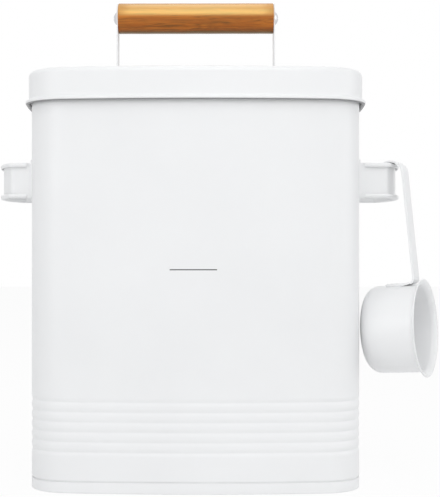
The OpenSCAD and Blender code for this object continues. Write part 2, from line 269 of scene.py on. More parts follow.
neck_in = SHEET + SEAM_GAP
neck_turn = math.degrees(math.acos(1 - neck_in / (2 * NECK_R)))
neck_top = SEAM_H + 2 * NECK_R * math.sin(math.radians(neck_turn))
crest_r = RIB_PITCH / 2 / math.sin(math.radians(RIB_TURN)) - GROOVE_R
rib_depth = RIB_PITCH / 2 * math.tan(math.radians(RIB_TURN / 2))
crest_z = RIB_BASE - RIB_PITCH / 2


def draw_wall_section(name, origin, out):
    """Draws the wall's section from the foot up to where the curl of the rim starts."""
    pen = SheetPen(name, origin, out, UP, -neck_in, neck_in)
    pen.line(-neck_in, SEAM_H)
    pen.arc(NECK_R - neck_in, SEAM_H, -neck_turn, NECK_STEPS)
    pen.arc(-NECK_R, neck_top, neck_turn, NECK_STEPS)
    pen.line(0, crest_z)
    pen.arc(-crest_r, crest_z, RIB_TURN, RIB_STEPS)
    for rib in range(RIB_COUNT + 1):
        pen.arc(GROOVE_R - rib_depth, RIB_BASE + rib * RIB_PITCH, -2 * RIB_TURN, RIB_STEPS)
        last = rib == RIB_COUNT
        pen.arc(-crest_r, crest_z + (rib + 1) * RIB_PITCH, RIB_TURN if last else 2 * RIB_TURN, RIB_STEPS)
    pen.line(0, TIN_H - RIM_CURL_R)
    return pen


wall_pen = draw_wall_section("tin_wall", (half_w, 0, 0), (1, 0, 0))
wall_pen.arc(-RIM_CURL_R, TIN_H - RIM_CURL_R, RIM_CURL, CURL_STEPS)
tin_wall = wall_pen.piece
sweep_round_tin()
close_sheet(tin_wall, lambda place, normal: points_away(place, normal)
            if PLAIN_LOW < place.z < PLAIN_HIGH else 0)
thicken(tin_wall, SHEET)
smooth(tin_wall)
report(tin_wall)

# %% [markdown]
# A tin's wall is a strip that is bent round and hooked into itself at the back. The hooked edges are
# pressed flat into a lock seam, which stands out a little and follows the ribs. It is drawn with the same
# section as the wall, swept through the small angle that the seam is wide.

# %% Lock seam at the back
LOCK_W, LOCK_OUT, LOCK_SOFT = 5.0, 0.45, 0.18
LOCK_STEPS = 4


def soften(piece, width, segments=2, angle=50):
    """Rounds the cut edges of a piece a little, as a thick coat of paint does."""
    add_modifier(piece, "BEVEL", width=width * MM, segments=segments, limit_method="ANGLE",
                 angle_limit=math.radians(angle), harden_normals=False)


lock_half = math.degrees(LOCK_W / 2 / front_r)
lock_pen = draw_wall_section("lock_seam", (0, half_d + LOCK_OUT, 0), (0, 1, 0))
lock_seam = lock_pen.piece
take_all()
bpy.ops.transform.rotate(value=math.radians(lock_half), orient_axis="Z",
                         center_override=Vector((0, -front_cy, 0)) * MM)
turn((0, -front_cy, 0), UP, 2 * lock_half, LOCK_STEPS)
close_sheet(lock_seam, lambda place, normal: normal.y)
thicken(lock_seam, LOCK_OUT)
soften(lock_seam, LOCK_SOFT)
smooth(lock_seam)
report(lock_seam)

# %% [markdown]
# The base is a pressed panel. Its edge is folded up round the wall's foot into a narrow standing seam, so
# the tin stands on a smooth ring and the floor sits a few millimetres above the table. The section is
# swept as before, and the open middle is closed with one face.

# %% Base
SEAM_EDGE_R, FLOOR_LIFT, FLOOR_BEND_R, PANEL_IN = 0.7, 4.0, 1.5, 13.0
BASE_SOFT = 0.15
EDGE_STEPS = 6

seam_w = 3 * SHEET + 2 * SEAM_GAP
floor_face_r = FLOOR_BEND_R - SHEET
floor_cx = SHEET - seam_w - FLOOR_BEND_R


def pick(piece, wanted):
    """Selects the vertices of a piece, in edit mode, whose place in mm passes a test."""
    bpy.ops.mesh.select_all(action="DESELECT")
    bpy.ops.object.mode_set(mode="OBJECT")
    for vertex in piece.data.vertices:
        vertex.select = bool(wanted(vertex.co / MM))
    bpy.ops.object.mode_set(mode="EDIT")


def inside_panel(point):
    """True for a point that lies as far in from the outline's corners as the panel's inner ring does."""
    x, y = abs(point.x), abs(point.y)
    if x > corner_x and y > corner_y:
        return math.hypot(x - corner_x, y - corner_y) < CORNER_R - PANEL_IN + 2 * MERGE_MM
    return True


def close_panel(piece, height):
    """Fills the open middle of a swept panel: its innermost ring of points lies at one height."""
    wide = half_w - PANEL_IN + MERGE_MM
    deep = half_d - PANEL_IN + MERGE_MM
    merge_doubles()
    pick(piece, lambda p: abs(p.z - height) < MERGE_MM and abs(p.x) < wide and abs(p.y) < deep
         and inside_panel(p))
    bpy.ops.mesh.edge_face_add()


base_pen = SheetPen("tin_base", (half_w, 0, 0), (1, 0, 0), UP, 0, SEAM_H)
base_pen.line(0, SEAM_EDGE_R)
base_pen.arc(-SEAM_EDGE_R, SEAM_EDGE_R, -90, EDGE_STEPS)
base_pen.line(SEAM_EDGE_R - seam_w, 0)
base_pen.arc(SEAM_EDGE_R - seam_w, SEAM_EDGE_R, -90, EDGE_STEPS)
base_pen.line(-seam_w, FLOOR_LIFT - floor_face_r)
base_pen.arc(floor_cx, FLOOR_LIFT - floor_face_r, 90, EDGE_STEPS)
base_pen.line(-PANEL_IN, FLOOR_LIFT)
tin_base = base_pen.piece
sweep_round_tin()
close_panel(tin_base, FLOOR_LIFT)
close_sheet(tin_base, lambda place, normal: -normal.z if place.length < CORNER_R else 0)
thicken(tin_base, SHEET)
soften(tin_base, BASE_SOFT)
smooth(tin_base)
report(tin_base)

# %% [markdown]
# The lid is a shallow pan that drops over the wall. Its skirt ends in a bead that flares out and tucks
# under, which stiffens the edge and is what the fingers push against. The thin dark line that runs round
# the tin below the lid lies under the bead, so the bead is modelled as a real fold.

# %% Lid
LID_CLEAR, LID_SEAT, LID_H, LID_EDGE_R = 1.2, 0.3, 20.3, 3.5
BEAD_OUT, BEAD_NOSE_R, BEAD_FLARE_R, BEAD_TUCK = 2.1, 1.3, 1.2, 150.0
LID_EDGE_STEPS, FLARE_STEPS, NOSE_STEPS = 12, 8, 18

lid_out = LID_CLEAR + SHEET
lid_top = TIN_H + LID_SEAT + SHEET
bead_r = BEAD_FLARE_R + BEAD_NOSE_R
bead_turn = math.degrees(math.acos(1 - BEAD_OUT / bead_r))
nose_u = lid_out + BEAD_FLARE_R - bead_r * math.cos(math.radians(bead_turn))
nose_v = lid_top - LID_H + BEAD_NOSE_R
flare_v = nose_v + bead_r * math.sin(math.radians(bead_turn))

lid_pen = SheetPen("lid_shell", (half_w, 0, 0), (1, 0, 0), UP, -PANEL_IN, lid_top)
lid_pen.line(lid_out - LID_EDGE_R, lid_top)
lid_pen.arc(lid_out - LID_EDGE_R, lid_top - LID_EDGE_R, -90, LID_EDGE_STEPS)
lid_pen.line(lid_out, flare_v)
lid_pen.arc(lid_out + BEAD_FLARE_R, flare_v, bead_turn, FLARE_STEPS)
lid_pen.arc(nose_u, nose_v, -bead_turn - BEAD_TUCK, NOSE_STEPS)
lid_shell = lid_pen.piece
sweep_round_tin()
close_panel(lid_shell, lid_top)
close_sheet(lid_shell, lambda place, normal: normal.z if abs(place.z - lid_top) < MERGE_MM else 0)
thicken(lid_shell, SHEET)
smooth(lid_shell)
report(lid_shell)

# %% [markdown]
# The grip stands on one strap that is bent into a wide U and welded to the lid. The strap starts as a
# short edge, is pulled down, spun through the bend, pulled across the lid, and goes up the other side.
# Its two upper ends are rounded off with a vertex bevel nearly as wide as half the strap.

# %% Lid bracket
GRIP_D, GRIP_L, GRIP_RISE = 19.5, 100.0, 41.0
BRACKET_W, BRACKET_T, BRACKET_BEND_R, BRACKET_OVER = 15.0, 0.8, 2.5, 9.5
BRACKET_ROUND, BRACKET_SOFT = 7.45, 0.12
ROUND_STEPS = 14

grip_z = lid_top + GRIP_RISE
upright_out = GRIP_L / 2 + BRACKET_T
bracket_top = grip_z + BRACKET_OVER
bend_x, bend_z = upright_out - BRACKET_BEND_R, lid_top + BRACKET_BEND_R

lid_strap = new_point("lid_strap", (-upright_out, -BRACKET_W / 2, bracket_top))
pull((0, BRACKET_W, 0))
take_all()
pull((0, 0, bend_z - bracket_top))
turn((-bend_x, 0, bend_z), (0, -1, 0), 90, EDGE_STEPS)
pull((2 * bend_x, 0, 0))
turn((bend_x, 0, bend_z), (0, -1, 0), 90, EDGE_STEPS)
pull((0, 0, bracket_top - bend_z))
close_sheet(lid_strap, lambda place, normal: -normal.z)
edit(lid_strap)
pick(lid_strap, lambda p: abs(p.z - bracket_top) < MERGE_MM)
bpy.ops.mesh.bevel(offset=BRACKET_ROUND * MM, segments=ROUND_STEPS, affect="VERTICES", clamp_overlap=True)
bpy.ops.object.mode_set(mode="OBJECT")
thicken(lid_strap, BRACKET_T)
soften(lid_strap, BRACKET_SOFT)
smooth(lid_strap)
report(lid_strap)

# %% [markdown]
# The grip is a turned stick of hardwood, held by a screw at each end. A cylinder is a good start.
# Its two end faces get a small bevel, because the lathe leaves no sharp edge, and it is cut along its
# length into rings so that the stick can be made a hair thicker and thinner, as hand-sanded wood is.

# %% Wooden grip
GRIP_CHAMFER, GRIP_RINGS, GRIP_SIDES = 0.8, 12, 72
SANDED, SANDED_WAVE = 0.06, 2.4

grip_r = GRIP_D / 2

deselect_objects()
bpy.ops.mesh.primitive_cylinder_add(vertices=GRIP_SIDES, radius=grip_r * MM, depth=GRIP_L * MM,
                                    end_fill_type="NGON")
grip = bpy.context.object
grip.name = grip.data.name = "turned_grip"
edit(grip)
take_all()
bpy.ops.transform.rotate(value=math.pi / 2, orient_axis="Y", center_override=(0, 0, 0))
bpy.ops.transform.translate(value=(0, 0, grip_z * MM))
for ring in range(1, GRIP_RINGS):
    cut = GRIP_L * (ring / GRIP_RINGS - 1 / 2)
    take_all()
    bpy.ops.mesh.bisect(plane_co=(cut * MM, 0, 0), plane_no=(1, 0, 0))
for ring in range(1, GRIP_RINGS):
    cut = GRIP_L * (ring / GRIP_RINGS - 1 / 2)
    pick(grip, lambda p: abs(p.x - cut) < MERGE_MM)
    less = 1 - SANDED / grip_r * (1 + math.sin(SANDED_WAVE * ring)) / 2
    bpy.ops.transform.resize(value=(1, less, less), center_override=(0, 0, grip_z * MM))
bpy.ops.object.mode_set(mode="OBJECT")
soften(grip, GRIP_CHAMFER, segments=4, angle=60)
smooth(grip, angle=40)
report(grip)

# %% [markdown]
# Two dome-head screws hold the grip. Half the head's section is drawn as an arc and spun once round its
# axis. The cross recess is cut with a Boolean modifier and two thin bars, since a drive recess is a real
# hole with a dark bottom. The second screw is a copy, mirrored to the other end.

# %% Grip screws
SCREW_D, SCREW_L, HEAD_D, HEAD_H = 4.0, 22.0, 9.0, 2.4
RECESS_W, SCREW_SOFT = 1.0, 0.1
SCREW_TURNS, DOME_STEPS = 48, 12

ball_r = (HEAD_D * HEAD_D / 4 + HEAD_H * HEAD_H) / (2 * HEAD_H)
dome_turn = math.degrees(math.asin(HEAD_D / 2 / ball_r))
axis_x = Vector((1, 0, 0))

screw_pen = SheetPen("grip_screw_right", (upright_out, 0, grip_z), UP, axis_x, 0, HEAD_H)
screw_pen.arc(0, HEAD_H - ball_r, -dome_turn, DOME_STEPS)
screw_pen.line(SCREW_D / 2, 0)
screw_pen.line(SCREW_D / 2, -SCREW_L - BRACKET_T)
screw_pen.line(0, -SCREW_L - BRACKET_T)
screw_right = screw_pen.piece
take_all()
turn((0, 0, grip_z), axis_x, 360, SCREW_TURNS)
close_sheet(screw_right, lambda place, normal: normal.x if place.x > upright_out + HEAD_H / 2 else 0)

bars = []
for length, width in ((HEAD_D / 2, RECESS_W), (RECESS_W, HEAD_D / 2)):
    deselect_objects()
    bpy.ops.mesh.primitive_cube_add(size=MM)
    bar = bpy.context.object
    edit(bar)
    take_all()
    bpy.ops.transform.resize(value=(HEAD_H, length, width))
    bpy.ops.transform.translate(value=Vector((upright_out + HEAD_H, 0, grip_z)) * MM)
    bpy.ops.object.mode_set(mode="OBJECT")
    bars.append(bar)
for bar in bars:
    add_modifier(screw_right, "BOOLEAN", operation="DIFFERENCE", object=bar, solver="EXACT")
deselect_objects()
for bar in bars:
    bar.select_set(True)
bpy.ops.object.delete()
soften(screw_right, SCREW_SOFT, angle=40)
smooth(screw_right, angle=40)
report(screw_right)


def mirror_across(piece):
    """Mirrors a piece to the other side of the tin."""
    edit(piece)
    take_all()
    bpy.ops.transform.resize(value=(-1, 1, 1), center_override=(0, 0, 0))
    bpy.ops.mesh.flip_normals()
    bpy.ops.object.mode_set(mode="OBJECT")


select_only(screw_right)
bpy.ops.object.duplicate(linked=False)
screw_left = bpy.context.object
screw_left.name = screw_left.data.name = "grip_screw_left"
mirror_across(screw_left)
report(screw_left)

# %% [markdown]
# Each side handle is a strap with both edges rolled outwards, so that it is stiff and soft to the hand.
# Half of it is made: the rolled section is pulled along the leg, spun round the bend, and spun along the
# bow to the middle. The flat web is then carried on to the foot that is welded to the side, and a Mirror
# modifier gives the other half. The left handle stands out less than the right one, so each has its own
# reach. First the places along the strap are worked out from the sizes and from the bowed side of the tin.

# %% Sizes of the side handles
HANDLE_Z, HANDLE_H, HANDLE_SPAN, HANDLE_T = 188.2, 22.0, 62.0, 0.9
LEFT_REACH, RIGHT_REACH = 21.5, 26.2
BOW_HALF, HANDLE_BEND_R, ROLL_R, ROLL_TURN = 30.0, 2.5, 1.5, 240.0
FOOT_H, FOOT_L, FOOT_CORNER_R, FLAT_L, FOOT_BEND_R = 25.0, 10.5, 4.0, 3.0, 0.6
HANDLE_SOFT, BOW_PROBE = 0.15, 1.0
ROLL_STEPS, BEND_STEPS, BOW_STEPS, WEB_STEPS, LEG_STEPS = 14, 10, 16, 4, 2

leg_y = HANDLE_SPAN / 2
bend_y = leg_y - HANDLE_BEND_R
bow_r = HANDLE_BEND_R + bend_y / math.sin(math.radians(BOW_HALF))
roll_in = ROLL_R - HANDLE_T
roll_v = HANDLE_H / 2 - ROLL_R
roll_end = math.radians(ROLL_TURN - 180)
leg_root = side_cx + math.sqrt(side_r ** 2 - (leg_y - HANDLE_T) ** 2)
flat_x = leg_root + HANDLE_T + FLAT_L
foot_face_r = side_r + HANDLE_T
foot_from = math.degrees(math.asin((leg_y + FOOT_BEND_R) / (foot_face_r + FOOT_BEND_R)))
foot_to = math.degrees(math.asin((leg_y + FOOT_L) / foot_face_r))
foot_bend_x = side_cx + (foot_face_r + FOOT_BEND_R) * math.cos(math.radians(foot_from))


def bow_at(reach):
    """Where the centre of a handle's bow lies along X."""
    return half_w + reach - bow_r


print("bow radius", round(bow_r, 1), "foot from", round(foot_from, 2), "to", round(foot_to, 2), "degrees")

# %% [markdown]
# A rolled edge cannot follow the strap on to the wall, so the rolls end short of it and only the flat web
# runs on. The web is spun out through the foot's small bend and on along the bowed side of the tin, and its
# upper and lower edges are pulled out to the foot's height. Straight cuts trim the free corners round.

# %% Foot of a side handle
def round_corner(piece, wanted, centre, radius, first, second, cuts=6):
    """Trims a sheet's corner to a round with a fan of straight cuts, from one direction to another."""
    for cut in range(1, cuts):
        angle = math.radians(90 * cut / cuts)
        away = math.cos(angle) * Vector(first) + math.sin(angle) * Vector(second)
        pick(piece, wanted)
        bpy.ops.mesh.bisect(plane_co=(Vector(centre) + radius * away) * MM, plane_no=away, clear_outer=True)


def widen(piece, wanted, height, rise):
    """Pulls the upper and the lower edge of a flat stretch of the strap further out."""
    for sign in (1, -1):
        pick(piece, lambda p: wanted(p) and abs(p.z - HANDLE_Z - sign * height) < MERGE_MM)
        pull((0, 0, sign * rise))


def grow_foot(piece):
    """Carries the web of a half handle on to its foot, and rounds the foot's free corners."""
    pick(piece, lambda p: abs(p.x - flat_x) < MERGE_MM and abs(p.y + leg_y) < MERGE_MM
         and abs(p.z - HANDLE_Z) < roll_v + MERGE_MM)
    pull((foot_bend_x - flat_x, 0, 0))
    turn((foot_bend_x, -leg_y - FOOT_BEND_R, 0), UP, 90 - foot_from, EDGE_STEPS)
    turn((side_cx, 0, 0), UP, foot_from - foot_to, BEND_STEPS)
    widen(piece, lambda p: p.x < flat_x + MERGE_MM and p.y < MERGE_MM - leg_y
          and (p.x < flat_x - MERGE_MM or p.y > -leg_y - MERGE_MM), roll_v, ROLL_R)
    widen(piece, lambda p: p.x < foot_bend_x - FOOT_BEND_R / 2, HANDLE_H / 2, (FOOT_H - HANDLE_H) / 2)
    for sign in (1, -1):
        centre = (0, FOOT_CORNER_R - leg_y - FOOT_L, HANDLE_Z + sign * (FOOT_H / 2 - FOOT_CORNER_R))
        round_corner(piece, lambda p: p.x < foot_bend_x and p.y < -leg_y - FOOT_BEND_R,
                     centre, FOOT_CORNER_R, (0, -1, 0), (0, 0, sign))


print("foot", FOOT_L, "by", FOOT_H, "mm")

# %% [markdown]
# The two handles differ only in how far they stand out, so one function bends both. The left one is bent on
# the right side too and then mirrored to the left.

# %% Both side handles
def bend_handle(name, reach):
    """Bends one handle on the right side of the tin: half of it, which a Mirror modifier completes."""
    bow_x = bow_at(reach)
    bend_at = bow_x + (bow_r - HANDLE_BEND_R) * math.cos(math.radians(BOW_HALF))
    pen = SheetPen(name, (flat_x, -leg_y, HANDLE_Z), (0, -1, 0), UP,
                   roll_in + roll_in * math.cos(roll_end), -roll_v + roll_in * math.sin(roll_end))
    pen.arc(roll_in, -roll_v, -ROLL_TURN, ROLL_STEPS)
    pen.line(0, roll_v, WEB_STEPS)
    pen.arc(roll_in, roll_v, -ROLL_TURN, ROLL_STEPS)
    piece = pen.piece
    take_all()
    pull((bend_at - flat_x, 0, 0), LEG_STEPS)
    turn((bend_at, -bend_y, 0), UP, 90 - BOW_HALF, BEND_STEPS)
    turn((bow_x, 0, 0), UP, BOW_HALF, BOW_STEPS)
    grow_foot(piece)
    add_modifier(piece, "MIRROR", use_axis=(False, True, False), use_clip=True,
                 merge_threshold=MERGE_MM * MM)
    edit(piece)
    close_sheet(piece, lambda place, normal: normal.x if place.x > half_w + reach - BOW_PROBE
                and abs(place.z - HANDLE_Z) < HANDLE_H / 4 else 0)
    thicken(piece, HANDLE_T)
    soften(piece, HANDLE_SOFT, angle=60)
    smooth(piece, angle=40)
    return piece


handle_right = bend_handle("handle_right", RIGHT_REACH)
handle_left = bend_handle("handle_left", LEFT_REACH)
mirror_across(handle_left)
report(handle_right)
report(handle_left)

# %% [markdown]
# The scoop's cup is a drawn pot with a round bottom edge and a flared lip. It is a turned shape, so half
# its section is drawn once and spun all the way round the cup's axis. The axis looks to the front right,
# square to the strap of the handle where the scoop hangs, and a little up, since the scoop hangs askew.

# %% Scoop cup
CUP_D, CUP_DEPTH, CUP_T, CUP_EDGE_R, LIP_R = 54.5, 35.5, 0.8, 8.0, 3.3
HOOK_DROP, CUP_GAP, HOOK_R, HOOK_TIP, HOOK_GAP, HOOK_SHARE = 96.8, 0.7, 7.0, 6.5, 0.3, 0.8
SCOOP_TILT = math.radians(3)
CUP_SOFT = 0.2
CUP_TURNS, CUP_FLAT_STEPS = 96, 3

scoop_turn = math.radians(BOW_HALF * HOOK_SHARE)
hook_reach = bow_r + roll_in
hook_z = HANDLE_Z + HANDLE_H / 2 + HOOK_GAP - HOOK_R
scoop_out = Vector((math.cos(scoop_turn), -math.sin(scoop_turn), 0))
hook_at = Vector((bow_at(RIGHT_REACH), 0, hook_z)) + hook_reach * scoop_out
scoop_side = Vector((math.sin(scoop_turn), math.cos(scoop_turn), 0))
cup_axis = math.cos(SCOOP_TILT) * scoop_out + math.sin(SCOOP_TILT) * UP
scoop_up = math.cos(SCOOP_TILT) * UP - math.sin(SCOOP_TILT) * scoop_out


def on_scoop(out, up):
    """A place on the scoop: out along the axis of the cup, up along the strap, from the hook's middle."""
    return hook_at + out * cup_axis + up * scoop_up


cup_r = CUP_D / 2
cup_flat_r = cup_r - CUP_EDGE_R
cup_from = on_scoop(0, -HOOK_DROP) - cup_flat_r * scoop_side - Vector((side_cx, 0, 0))
cup_from.z = 0
cup_along = cup_from.dot(scoop_out)
cup_away = side_r + CUP_GAP + CUP_EDGE_R
cup_set = math.sqrt(cup_along ** 2 - cup_from.length_squared + cup_away ** 2) - cup_along
cup_back = cup_set / math.cos(SCOOP_TILT) - CUP_EDGE_R
cup_front = cup_back + CUP_DEPTH
cup_middle = on_scoop(cup_back, -HOOK_DROP)

cup_pen = SheetPen("cup_shell", cup_middle, scoop_up, cup_axis, 0, 0)
cup_pen.line(cup_flat_r, 0, CUP_FLAT_STEPS)
cup_pen.arc(cup_flat_r, CUP_EDGE_R, 90, LID_EDGE_STEPS)
cup_pen.line(cup_r, CUP_DEPTH - LIP_R)
cup_pen.arc(cup_r + LIP_R, CUP_DEPTH - LIP_R, -90, LID_EDGE_STEPS)
cup_shell = cup_pen.piece
take_all()
turn(cup_middle, cup_axis, 360, CUP_TURNS)
close_sheet(cup_shell, lambda place, normal: -normal.dot(cup_axis)
            if (place - cup_middle).length < cup_flat_r else 0)
thicken(cup_shell, CUP_T)
soften(cup_shell, CUP_SOFT, segments=3)
smooth(cup_shell)
report(cup_shell)

# %% [markdown]
# The scoop's handle is one strap: a round hook that hangs over the strap handle, a straight shank that
# leans a little, and a tab that is bent over and welded on top of the cup. The strap is drawn as an edge
# across its width and then swept along its path, from the tip of the hook to the end of the tab. The tip is
# trimmed round with straight cuts, as the feet of the side handles are.

# %% Scoop handle
STRAP_W, STRAP_T, STRAP_BEND_R, TAB_L, LIP_GAP, LIFT_SHARE = 13.5, 1.2, 2.0, 15.0, 0.3, 0.3
TIP_PROBE, TAB_EASE, STRAP_SOFT = 1.0, 5.0, 0.2
STRAP_ACROSS, TAB_STEPS, HOOK_STEPS, SHANK_STEPS = 6, 8, 28, 4

strap_low = cup_r + STRAP_T * LIFT_SHARE - HOOK_DROP
bend_up = strap_low + STRAP_T + STRAP_BEND_R
bend_out = cup_front - LIP_R - LIP_GAP - STRAP_T - STRAP_BEND_R
strap_lean = (math.degrees(math.acos((HOOK_R - STRAP_BEND_R) / math.hypot(bend_out, bend_up)))
              - math.degrees(math.atan2(-bend_up, bend_out)))
lean = math.radians(strap_lean)
hook_out_r, bend_out_r = HOOK_R + STRAP_T, STRAP_BEND_R + STRAP_T

scoop_strap = new_point("scoop_strap", on_scoop(-hook_out_r, -HOOK_TIP) - STRAP_W / 2 * scoop_side)
pull(STRAP_W * scoop_side, STRAP_ACROSS)
take_all()
hinge_axis = cup_axis.cross(scoop_up)
pull(HOOK_TIP * scoop_up)
turn(hook_at, hinge_axis, strap_lean - 180, HOOK_STEPS)
shank = (on_scoop(bend_out + bend_out_r * math.cos(lean), bend_up + bend_out_r * math.sin(lean))
         - on_scoop(hook_out_r * math.cos(lean), hook_out_r * math.sin(lean)))
pull(shank, SHANK_STEPS)
turn(on_scoop(bend_out, bend_up), hinge_axis, -90 - strap_lean, BEND_STEPS)
pull(-TAB_L * cup_axis, TAB_STEPS)
close_sheet(scoop_strap, lambda place, normal: normal.dot(scoop_out) if place.z < hook_at.z - HOOK_R else 0)
edit(scoop_strap)
for side in (scoop_side, -scoop_side):
    round_corner(scoop_strap,
                 lambda p: (p - hook_at).dot(cup_axis) < -HOOK_R and p.z < hook_at.z + TIP_PROBE,
                 on_scoop(0, STRAP_W / 2 - HOOK_TIP), STRAP_W / 2, side, -scoop_up)
bpy.ops.object.mode_set(mode="OBJECT")
print("strap leans", round(strap_lean, 2), "degrees and has", len(scoop_strap.data.polygons), "faces")

# %% [markdown]
# The welded end lies on the round cup. A tube of the cup's size is spun as a former, and a Shrinkwrap
# modifier lays the points of the tab on it. Their weights ease in from the bend, so that the strap does not
# crease there. Then the weights and the former are thrown away, and the strap gets its thickness last.

# %% Weld the strap to the cup
former_pen = SheetPen("former", cup_middle, scoop_up, cup_axis, cup_r, 0)
former_pen.line(cup_r, CUP_DEPTH)
former = former_pen.piece
take_all()
turn(cup_middle, cup_axis, 360, CUP_TURNS)
bpy.ops.object.mode_set(mode="OBJECT")

tab = scoop_strap.vertex_groups.new(name="tab")
for vertex in scoop_strap.data.vertices:
    local = vertex.co / MM - hook_at
    if abs(local.dot(scoop_up) - strap_low) < MERGE_MM:
        ease = min(1.0, max(0.0, (bend_out - local.dot(cup_axis)) / TAB_EASE))
        tab.add([vertex.index], ease, "REPLACE")
add_modifier(scoop_strap, "SHRINKWRAP", target=former, wrap_method="PROJECT", use_project_z=True,
             use_negative_direction=True, use_positive_direction=False, vertex_group="tab")
scoop_strap.vertex_groups.clear()
select_only(former)
bpy.ops.object.delete()
thicken(scoop_strap, STRAP_T)
soften(scoop_strap, STRAP_SOFT)
smooth(scoop_strap, angle=40)
report(scoop_strap)

# %% [markdown]
# On the real object the tin, the lid and the scoop move apart. Each piece takes the place of its CAD node,
# rides on that node's body, and names the finish it has. The lock seam and the second screw have no node of
# their own, so they only ride.

# %% Ride, replace and name the finish
DRESSING = [
    (tin_wall, "tin", "coat", ["body_wall"]),
    (lock_seam, "tin", "coat", []),
    (tin_base, "tin", "coat", ["base_panel"]),
    (handle_left, "tin", "coat", ["left_handle"]),
    (handle_right, "tin", "coat", ["right_handle"]),
    (lid_shell, "lid", "coat", ["lid"]),
    (lid_strap, "lid", "coat", ["lid_bracket"]),
    (grip, "lid", "grip_wood", ["wooden_grip"]),
    (screw_right, "lid", "screw_steel", ["grip_screws"]),
    (screw_left, "lid", "screw_steel", []),
    (cup_shell, "scoop", "coat", ["scoop_cup"]),
    (scoop_strap, "scoop", "coat", ["scoop_handle"]),
]
for piece, body, slot, nodes in DRESSING:
    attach(piece, body)
    if nodes:
        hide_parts(*nodes)
print(len(DRESSING), "pieces ride on", sorted({body for _, body, _, _ in DRESSING}))

# %% [markdown]
# The coat is white powder paint, baked on steel. Close up such a coat is not flat: it flows into a fine
# orange-peel ripple, its gloss drifts a little, and its white is never quite even. Noise textures on Object
# coordinates give those three things, at the size that they really have.

# %% Material helpers
def new_material(name):
    """A material with one Principled shader, and the tree and the shader to work on."""
    material = bpy.data.materials.new(name)
    material.use_nodes = True
    tree = material.node_tree
    tree.nodes.clear()
    output = tree.nodes.new("ShaderNodeOutputMaterial")
    shader = tree.nodes.new("ShaderNodeBsdfPrincipled")
    tree.links.new(shader.outputs["BSDF"], output.inputs["Surface"])
    return material, tree, shader


def noise(tree, scale, detail=2.0, rough=0.5, stretch=None, distortion=0.0):
    """A noise texture on Object coordinates, stretched if asked."""
    coords = tree.nodes.new("ShaderNodeTexCoord")
    texture = tree.nodes.new("ShaderNodeTexNoise")
    texture.inputs["Scale"].default_value = scale
    texture.inputs["Detail"].default_value = detail
    texture.inputs["Roughness"].default_value = rough
    texture.inputs["Distortion"].default_value = distortion
    source = coords.outputs["Object"]
    if stretch:
        mapping = tree.nodes.new("ShaderNodeMapping")
        mapping.inputs["Scale"].default_value = stretch
        tree.links.new(source, mapping.inputs["Vector"])
        source = mapping.outputs["Vector"]
    tree.links.new(source, texture.inputs["Vector"])
    return texture.outputs["Fac"]


def spread(tree, value, low, high, from_low=0.3, from_high=0.7):
    """Maps a noise onto a range of values."""
    node = tree.nodes.new("ShaderNodeMapRange")
    node.inputs["From Min"].default_value = from_low
    node.inputs["From Max"].default_value = from_high
    node.inputs["To Min"].default_value = low
    node.inputs["To Max"].default_value = high
    tree.links.new(value, node.inputs["Value"])
    return node.outputs["Result"]


def ramp(tree, value, stops):
    """Maps a noise onto colours."""
    node = tree.nodes.new("ShaderNodeValToRGB")
    elements = node.color_ramp.elements
    while len(elements) < len(stops):
        elements.new(0.5)
    for element, (position, colour) in zip(elements, stops):
        element.position = position
        element.color = (*colour, 1)
    tree.links.new(value, node.inputs["Fac"])
    return node.outputs["Color"]


def bump(tree, shader, value, strength, distance_mm, under=None):
    """Raises the surface by a noise, on top of the bump under it if there is one."""
    node = tree.nodes.new("ShaderNodeBump")
    node.inputs["Strength"].default_value = strength
    node.inputs["Distance"].default_value = distance_mm * MM
    tree.links.new(value, node.inputs["Height"])
    if under:
        tree.links.new(under, node.inputs["Normal"])
    tree.links.new(node.outputs["Normal"], shader.inputs["Normal"])
    return node.outputs["Normal"]


print("a noise can become a range of values, a colour or a bump")

# %% [markdown]
# Some looks belong to one place on the object. A mask is a number between nought and one that says how much
# of such a look a point gets. Here it is worked out from the point's Object coordinates, or from the way its
# surface faces, so it stays on the object wherever the camera stands.

# %% Masks by place
MASK_SOFT = 0.05


def place_of(tree):
    """The three Object coordinates of the point that is being shaded, in metres."""
    coords = tree.nodes.new("ShaderNodeTexCoord")
    parts = tree.nodes.new("ShaderNodeSeparateXYZ")
    tree.links.new(coords.outputs["Object"], parts.inputs["Vector"])
    return parts.outputs


def calculate(tree, operation, first, second):
    """One step of arithmetic on an output, with a number or with a second output."""
    node = tree.nodes.new("ShaderNodeMath")
    node.operation = operation
    tree.links.new(first, node.inputs[0])
    if isinstance(second, (int, float)):
        node.inputs[1].default_value = second
    else:
        tree.links.new(second, node.inputs[1])
    return node.outputs["Value"]


def within(tree, value, middle, half):
    """One within half of the middle, nought outside, with a soft edge. The sizes are in mm."""
    away = calculate(tree, "ABSOLUTE", calculate(tree, "SUBTRACT", value, middle * MM), 0)
    return spread(tree, away, 1, 0, (half - MASK_SOFT) * MM, (half + MASK_SOFT) * MM)


def facing(tree, start, full):
    """Nought where the Z of the piece's own normal is at start, rising to one where it is at full."""
    parts = tree.nodes.new("ShaderNodeSeparateXYZ")
    tree.links.new(tree.nodes.new("ShaderNodeTexCoord").outputs["Normal"], parts.inputs["Vector"])
    return spread(tree, parts.outputs["Z"], 0, 1, start, full)


def blend_colour(tree, share, below, above):
    """Lays the colour above over the colour below, as far as share says."""
    node = tree.nodes.new("ShaderNodeMix")
    node.data_type = "RGBA"
    tree.links.new(share, node.inputs["Factor"])
    tree.links.new(below, node.inputs["A"])
    node.inputs["B"].default_value = (*above, 1)
    return node.outputs["Result"]


print("masks have an edge", 2 * MASK_SOFT, "mm wide")

